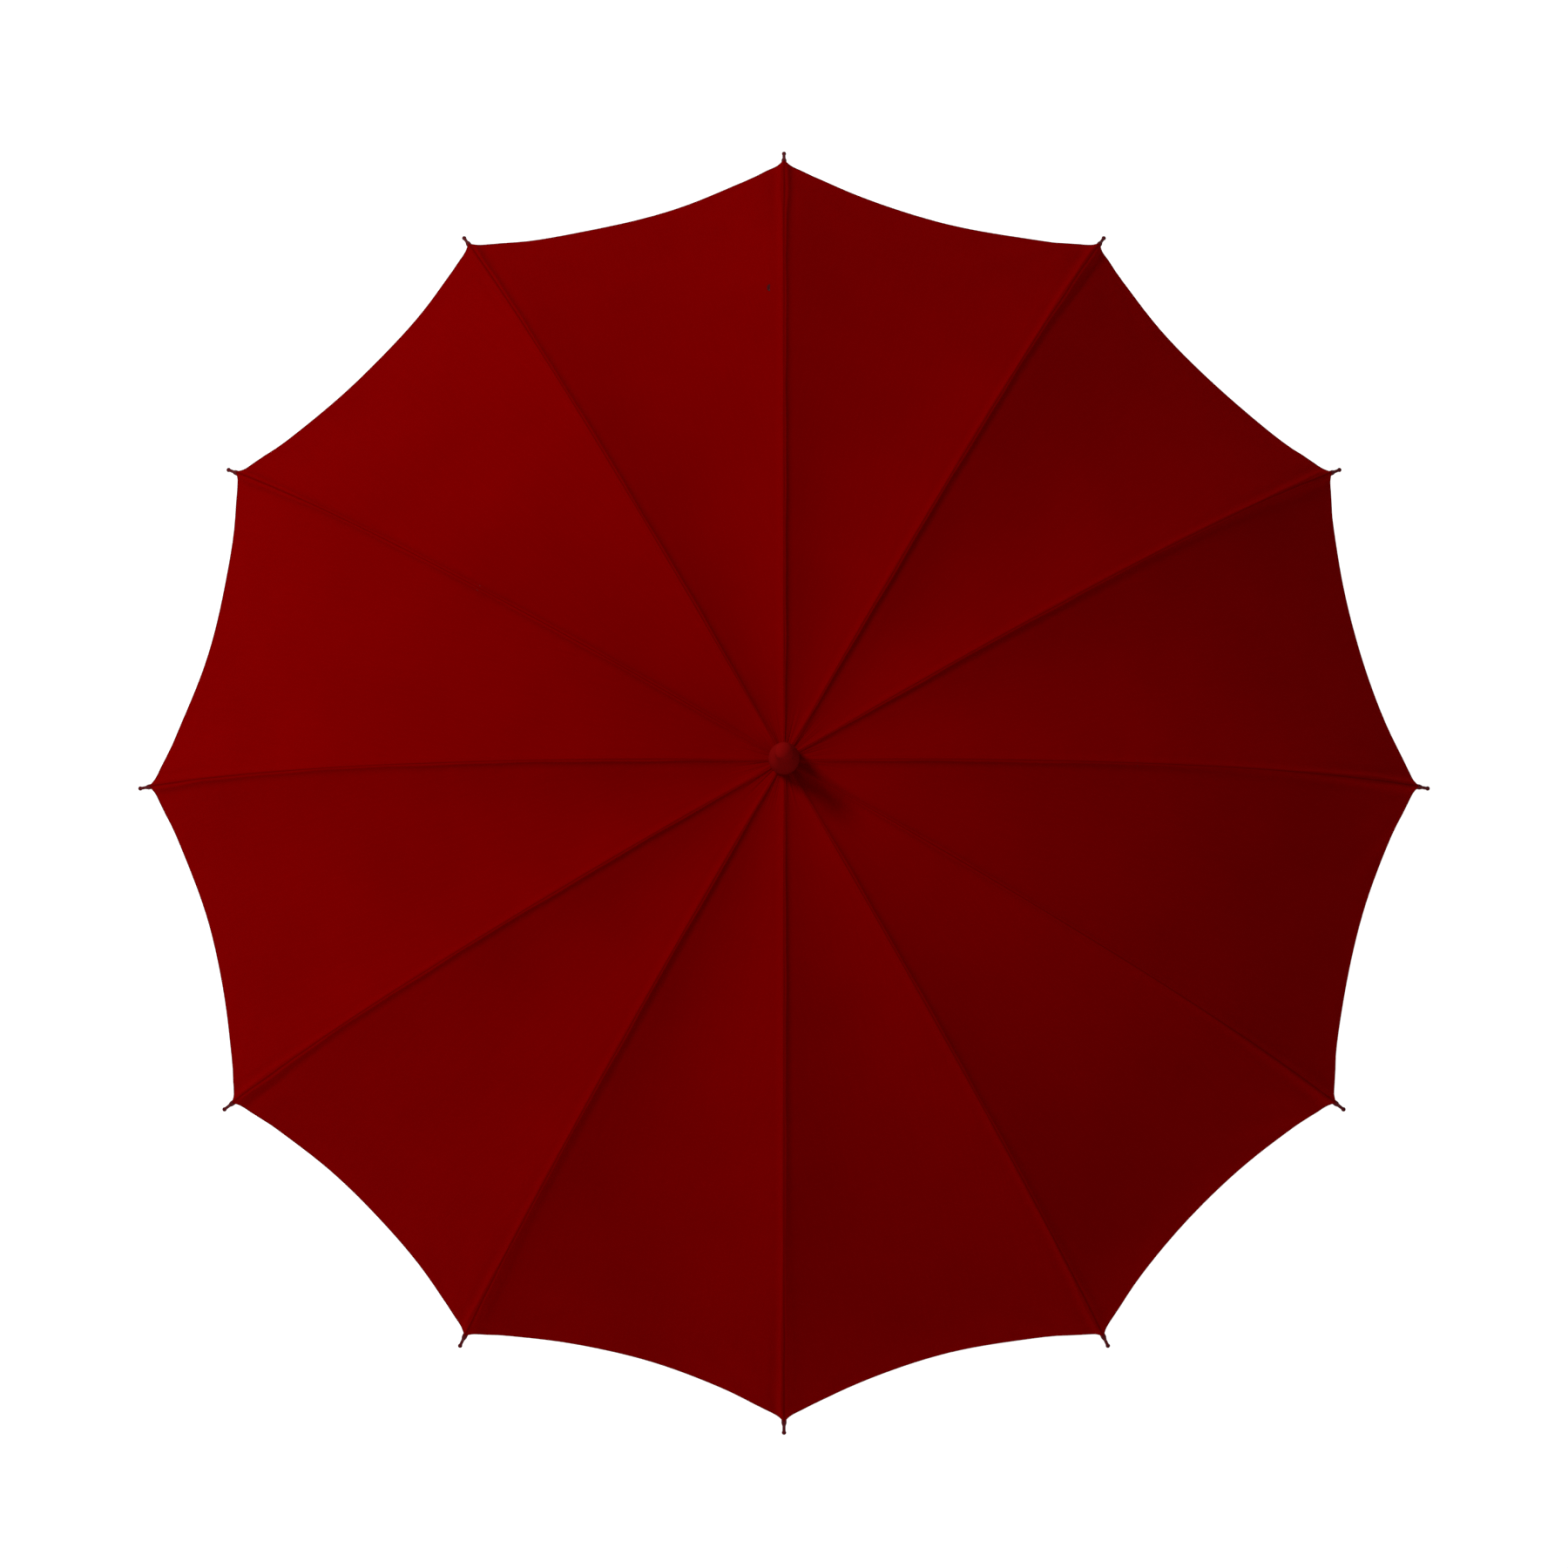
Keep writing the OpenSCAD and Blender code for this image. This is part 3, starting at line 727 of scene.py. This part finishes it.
        # Over the crown the cloth goes across its top and down its side, to meet the ribs
        top_run = CROWN_R - HOLE_R
        join_x, join_z, join_slope = folded_line(np.array(JOIN_RUN), share)
        end_x = join_x + FOLD_COVER * np.sin(join_slope)
        end_z = join_z + FOLD_COVER * np.cos(join_slope)
        t = np.clip((self.run - top_run) / (JOIN_RUN - top_run), 0, 1)
        on_top = self.run < top_run
        crown_radius = np.where(on_top, HOLE_R + self.run, CROWN_R + t * (end_x - CROWN_R))
        crown_height = np.where(on_top, CROWN_COVER, CROWN_COVER + t * (end_z - CROWN_COVER))
        near = self.run < JOIN_RUN
        return np.where(near, crown_radius, radius), np.where(near, crown_height, height)

    def folded(self, share):
        """Points of the canopy closed by that share: seams stay on the ribs, and each panel's slack
        lies as a flap that is wound the same way round the bundle."""
        radius, height = self.folded_profile(share)
        # Each panel goes forward as far as its slack reaches, then back to the next rib
        arc = np.minimum(self.half_width, radius * HALF_PITCH)
        crease = self.half_width + arc
        forward = self.across <= crease
        travel = np.where(forward, self.across, 2 * crease - self.across)
        angle = travel * HALF_PITCH / arc
        wound = smooth(self.half_width - arc, 0, 12 * MM)
        to_next_seam = 2 * self.half_width - self.across
        back = CREASE_GAP + (LAYER * PITCH - CREASE_GAP) * bell(to_next_seam, 4 * MM)
        spiral = LAYER * angle - np.where(forward, 0, back)
        flat = math.cos(HALF_PITCH) / np.cos(np.minimum(angle, PITCH) - HALF_PITCH)
        out = radius * (flat + (1 - flat) * wound) + spiral * wound
        turn = self.panel * PITCH + angle
        return np.stack([out * np.cos(turn), out * np.sin(turn), CROWN_Z + height], axis=-1)

    def shade(self):
        """Painted shade: how far the cloth's colour is darkened, down in the seam ditches and along the hem's
        edge, where shade falls.
        """
        wide = smooth(self.half_width, 5 * MM, 25 * MM)
        seam_width = (0.4 + 0.35 * smooth(self.share, 0.6, 1)) * MM
        seam = (0.15 + 0.3 * wide) * bell(self.to_seam, seam_width)
        edge = 0.75 * (1 - smooth(self.to_hem, 0.2 * MM, 1.6 * MM))
        return np.clip(np.maximum(seam, edge), 0, 1)

    def cloth_place(self):
        """Where a point lies on the flat cloth, for the weave: across, along, and a step for each panel."""
        across = self.side * self.half_width
        return np.stack([across, self.run, 0.37 * self.panel + 0 * across], axis=-1)


def mix_vectors(tree, factor, first, second):
    """The output of a vector Mix node."""
    node = add(tree, "ShaderNodeMix", data_type="VECTOR")
    sockets = {"Factor_Float": factor, "A_Vector": first, "B_Vector": second}
    for socket in node.inputs:
        if socket.identifier in sockets:
            tree.links.new(sockets[socket.identifier], socket)
    return next(out for out in node.outputs if out.identifier == "Result_Vector")


def stored_vector(tree, name):
    """The output of a Named Attribute node that reads a stored vector."""
    node = add(tree, "GeometryNodeInputNamedAttribute", {"Name": name}, data_type="FLOAT_VECTOR")
    return next(out for out in node.outputs if out.enabled and out.name == "Attribute")


def fold_nodes(rest_height):
    """A node group that reads from the mesh's height how far the umbrella has closed, and moves each point
    through its stored places for the steps of the fold."""
    tree = bpy.data.node_groups.new("canopy_fold", "GeometryNodeTree")
    tree.interface.new_socket("Geometry", in_out="INPUT", socket_type="NodeSocketGeometry")
    tree.interface.new_socket("Geometry", in_out="OUTPUT", socket_type="NodeSocketGeometry")
    source = tree.nodes.new("NodeGroupInput").outputs[0]
    position = tree.nodes.new("GeometryNodeInputPosition").outputs[0]
    place = add(tree, "ShaderNodeSeparateXYZ", {0: position})
    spread = add(
        tree, "GeometryNodeAttributeStatistic",
        {"Geometry": source, "Attribute": place.outputs["Z"]},
    )
    lost = calculate(tree, "MULTIPLY_ADD", spread.outputs["Range"], -1 / rest_height, 1.0)
    closed = calculate(tree, "MULTIPLY", lost, FOLD_STEPS / (1 - FOLD_KEEP))
    moved = stored_vector(tree, "fold_0")
    for step in range(FOLD_STEPS):
        factor = add(tree, "ShaderNodeClamp", {"Value": calculate(tree, "SUBTRACT", closed, float(step))})
        after = stored_vector(tree, f"fold_{step + 1}")
        moved = mix_vectors(tree, factor.outputs[0], moved, after)
    shaped = add(tree, "GeometryNodeSetPosition", {"Geometry": source, "Position": moved})
    tree.links.new(shaped.outputs[0], tree.nodes.new("NodeGroupOutput").inputs[0])
    return tree


def fold_with_ribs(piece, steps):
    """Makes a cloth piece follow the ribs as they close, through its places at each step of the fold.
    The squash takes half of the mesh's height over the whole fold. The node group reads the share there."""
    for number, places in enumerate(steps):
        store(piece, f"fold_{number}", places)
    heights = steps[0][:, 2]
    modifier = piece.modifiers.new("fold", "NODES")
    modifier.node_group = fold_nodes(float(heights.max() - heights.min()))
    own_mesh(piece)


def thicken(piece, thickness):
    """Gives a cloth piece its thickness."""
    modifier = piece.modifiers.new("thickness", "SOLIDIFY")
    modifier.thickness = thickness
    modifier.offset = 0


def make_canopy(materials):
    """The canopy: twelve panels sewn together, as one continuous sheet with a turned hem."""
    cloth = Canopy()
    steps = [cloth.rest()]
    for number in range(1, FOLD_STEPS + 1):
        steps.append(cloth.folded(number / FOLD_STEPS))
    steps = [step.reshape(-1, 3) for step in steps]
    piece = mesh_object("canopy_cloth", steps[0], grid_faces(cloth.rows, cloth.columns, True))
    store(piece, "cloth", cloth.cloth_place().reshape(-1, 3))
    # Painted shade in the seams and at the hem's edge, which the fabric material reads
    store(piece, "shade", cloth.shade().ravel())
    dress(piece, materials["canopy_fabric"])
    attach(piece, "root")
    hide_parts("canopy")
    fold_with_ribs(piece, steps)
    thicken(piece, CLOTH_T)


# ---- Cloth and thread under the canopy ----

STRAP_RIB = 4
STRAP_LENGTH = 103 * MM
STRAP_WIDTH = 10 * MM
STRAP_T = 0.6 * MM
STRAP_FROM_SEAM = 4 * MM
STRAP_BELOW = 1.7 * MM
# Where the strap begins, as a turn along the outer rib's curve
STRAP_START_TURN = math.radians(3)
# Distances of the ribbon's columns from its edge, in mm, and the number of its rows
STRAP_COLUMNS = [0, 0.4, 0.9, 1.5, 3, 5, 7, 8.5, 9.1, 9.6, 10]
STRAP_ROWS = 90
# How far its binding, its doubled ends and its slow waves stand out, and the length of a wave
BINDING = 0.18 * MM
DOUBLING = 0.35 * MM
STRAP_WAVE = 0.35 * MM
STRAP_WAVE_LENGTH = 13 * MM
# Distances of the stitched lines from each end
STRAP_STITCHES = (2 * MM, 10 * MM)


def panel_place(panel, across, run, cover):
    """A place on a panel: across from its first seam, at a run from the hole, and above the ribs' line."""
    x, z, slope = rib_line(run)
    side = across / (x * math.sin(HALF_PITCH)) - 1
    x = x + cover * np.sin(slope)
    z = z + cover * np.cos(slope) - panel_sag(side, run)
    return panel_points(panel, side, x, z)


def make_tie_strap(materials):
    """The ribbon that ties the closed umbrella: waved, with bound edges and doubled, stitched ends."""
    start = FLAT_RUN + INNER_RUN + STRAIGHT_RUN + OUTER_RHO * STRAP_START_TURN
    rows = start + np.linspace(0, STRAP_LENGTH, STRAP_ROWS)
    run, across = np.meshgrid(rows, np.array(STRAP_COLUMNS) * MM, indexing="ij")
    edge = bell(across, 0.9 * MM) + bell(across - STRAP_WIDTH, 0.9 * MM)
    to_end = np.minimum(run - start, start + STRAP_LENGTH - run)
    doubled = 1 - smooth(to_end, 11 * MM, 12.5 * MM)
    stitches = sum(bell(to_end - place, 0.35 * MM) for place in STRAP_STITCHES)
    wave = STRAP_WAVE * np.sin((run - start) / STRAP_WAVE_LENGTH)
    cover = PLAIN_COVER - STRAP_BELOW + wave - BINDING * edge - DOUBLING * doubled
    places = panel_place(STRAP_RIB - 1, STRAP_FROM_SEAM + across, run, cover)
    flat = np.stack([across, run, 0 * run], axis=-1)
    piece = mesh_object("tie_ribbon", places.reshape(-1, 3), grid_faces(*run.shape, False))
    store(piece, "cloth", flat.reshape(-1, 3))
    # Darker along the ribbon's bound edges and on its stitched lines
    store(piece, "shade", np.clip(0.5 * edge + 0.7 * stitches, 0, 1).ravel())
    dress(piece, materials["strap_fabric"])
    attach(piece, f"rib_outer_{STRAP_RIB}")
    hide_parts("tie_strap")
    thicken(piece, STRAP_T)


THREAD_R = 0.28 * MM
THREAD_SIDES = 6
LOOP_PITCH = 2.1 * THREAD_R
LOOP_STEPS = 28
LOOPS = 4


def thread_coil(run, width, height):
    """Points and faces of a thread wound round the first rib, at a run from the hole."""
    x, z, slope = (float(value) for value in rib_line(np.array(run)))
    steps = np.linspace(0, 2 * math.pi * LOOPS, LOOP_STEPS * LOOPS + 1)
    ring = 2 * math.pi * np.arange(THREAD_SIDES) / THREAD_SIDES
    loop, tube = np.meshgrid(steps, ring, indexing="ij")
    aside = np.cos(loop) * (width / 2 + THREAD_R * np.cos(tube))
    up = np.sin(loop) * (height / 2 + THREAD_R * np.cos(tube))
    forward = (loop / (2 * math.pi) - LOOPS / 2) * LOOP_PITCH + THREAD_R * np.sin(tube)
    step = along(slope)
    lift = above(slope)
    points = np.stack([
        x + forward * step[0] + up * lift[0],
        aside,
        CROWN_Z + z + forward * step[1] + up * lift[1],
    ], axis=-1)
    side_faces = grid_faces(len(steps), THREAD_SIDES, True).tolist()
    first_end = list(range(THREAD_SIDES))
    last_end = [(len(steps) - 1) * THREAD_SIDES + side for side in reversed(first_end)]
    return points.reshape(-1, 3), side_faces + [first_end, last_end]


def turned_to_rib(points, rib):
    """Points of the first rib's plane, turned to another rib."""
    turn = (rib - 1) * PITCH
    x = points[:, 0] * math.cos(turn) - points[:, 1] * math.sin(turn)
    y = points[:, 0] * math.sin(turn) + points[:, 1] * math.cos(turn)
    return np.stack([x, y, points[:, 2]], axis=-1)


def make_thread_ties(materials):
    """Threads that hold the cloth down on each rib, one on the inner part and one on the outer."""
    inner_run = FLAT_RUN + 0.55 * INNER_RUN
    outer_run = FLAT_RUN + INNER_RUN + STRAIGHT_RUN + 0.45 * OUTER_RUN
    coils = {
        "rib_inner": thread_coil(inner_run, width=4.2 * MM, height=3.8 * MM),
        "rib_outer": thread_coil(outer_run, width=3.6 * MM, height=3.8 * MM),
    }
    for body, (points, faces) in coils.items():
        for rib in range(1, RIB_COUNT + 1):
            piece = mesh_object(f"thread_{body}_{rib}", turned_to_rib(points, rib), faces)
            dress(piece, materials["thread"])
            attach(piece, f"{body}_{rib}")


# ---- Stage ----

def linked(name, data):
    """A new object in the scene for a camera or a light."""
    thing = bpy.data.objects.new(name, data)
    bpy.context.scene.collection.objects.link(thing)
    return thing


def aim(thing, target, towards, distance):
    """Places a camera or light at a distance from a target, and points it there."""
    thing.location = target + towards * distance
    thing.rotation_euler = (-towards).to_track_quat("-Z", "Y").to_euler()


def make_camera():
    """A long lens almost straight above, tilted as the object was seen."""
    elevation = math.radians(83.4)
    distance = 8.0
    view_width = 1.2492
    aim_ahead = 1.8 * MM
    data = bpy.data.cameras.new("camera")
    data.sensor_width = 36.0
    data.lens = data.sensor_width * distance / view_width
    data.clip_end = 100
    camera = linked("camera", data)
    back = Vector((0, -math.cos(elevation), math.sin(elevation)))
    aim(camera, Vector((0, aim_ahead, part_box("canopy")[0].z)), back, distance)
    bpy.context.scene.camera = camera


def area_light(name, azimuth, elevation, distance, size, power):
    """A square soft light aimed at the canopy. Azimuth is counter-clockwise from +X, in degrees."""
    below_crown = 0.1
    data = bpy.data.lights.new(name, "AREA")
    data.size = size
    data.energy = power
    a = math.radians(azimuth)
    e = math.radians(elevation)
    towards = Vector((math.cos(a) * math.cos(e), math.sin(a) * math.cos(e), math.sin(e)))
    aim(linked(name, data), Vector((0, 0, CROWN_Z - below_crown)), towards, distance)


def make_world(ambient):
    """An even white surround. The camera sees it white, and it lights the object with less."""
    world = bpy.data.worlds.new("surround")
    bpy.context.scene.world = world
    world.use_nodes = True
    tree = world.node_tree
    shader = tree.nodes["Background"]
    shader.inputs["Color"].default_value = (1, 1, 1, 1)
    seen = add(tree, "ShaderNodeLightPath").outputs["Is Camera Ray"]
    strength = add(tree, "ShaderNodeMapRange", {"Value": seen, "To Min": ambient, "To Max": 1.0})
    tree.links.new(strength.outputs[0], shader.inputs["Strength"])


def make_floor(low):
    """A plain pale floor just below the object. It glows a little, so that no shadow shows on it."""
    radius = 4.0
    sides = 96
    turns = [2 * math.pi * side / sides for side in range(sides)]
    rim = [(radius * math.cos(turn), radius * math.sin(turn), low) for turn in turns]
    floor = mesh_object("floor", rim, [list(range(sides))], smooth_shaded=False)
    material = new_material(
        "floor", Base_Color=(0.5, 0.5, 0.5, 1), Roughness=0.9, Specular_IOR_Level=0.1,
        Emission_Color=(1, 1, 1, 1), Emission_Strength=0.9,
    )[0]
    dress(floor, material)


def make_stage():
    """Camera, surround, floor and lights: a strong key from the upper left and three weak fills."""
    make_camera()
    make_world(ambient=0.28)
    make_floor(cad_low.z - 2 * MM)
    area_light("key", azimuth=139, elevation=46, distance=3.0, size=0.7, power=54)
    area_light("left_fill", azimuth=190, elevation=12, distance=3.2, size=2.4, power=12)
    area_light("near_fill", azimuth=262, elevation=12, distance=3.2, size=2.4, power=20)
    area_light("right_fill", azimuth=-25, elevation=12, distance=3.2, size=2.4, power=8)
    bpy.context.scene.view_settings.view_transform = "Standard"


# ---- Everything ----

materials = make_materials()
make_stage()
dress_nodes(materials)
make_canopy(materials)
make_tie_strap(materials)
make_thread_ties(materials)
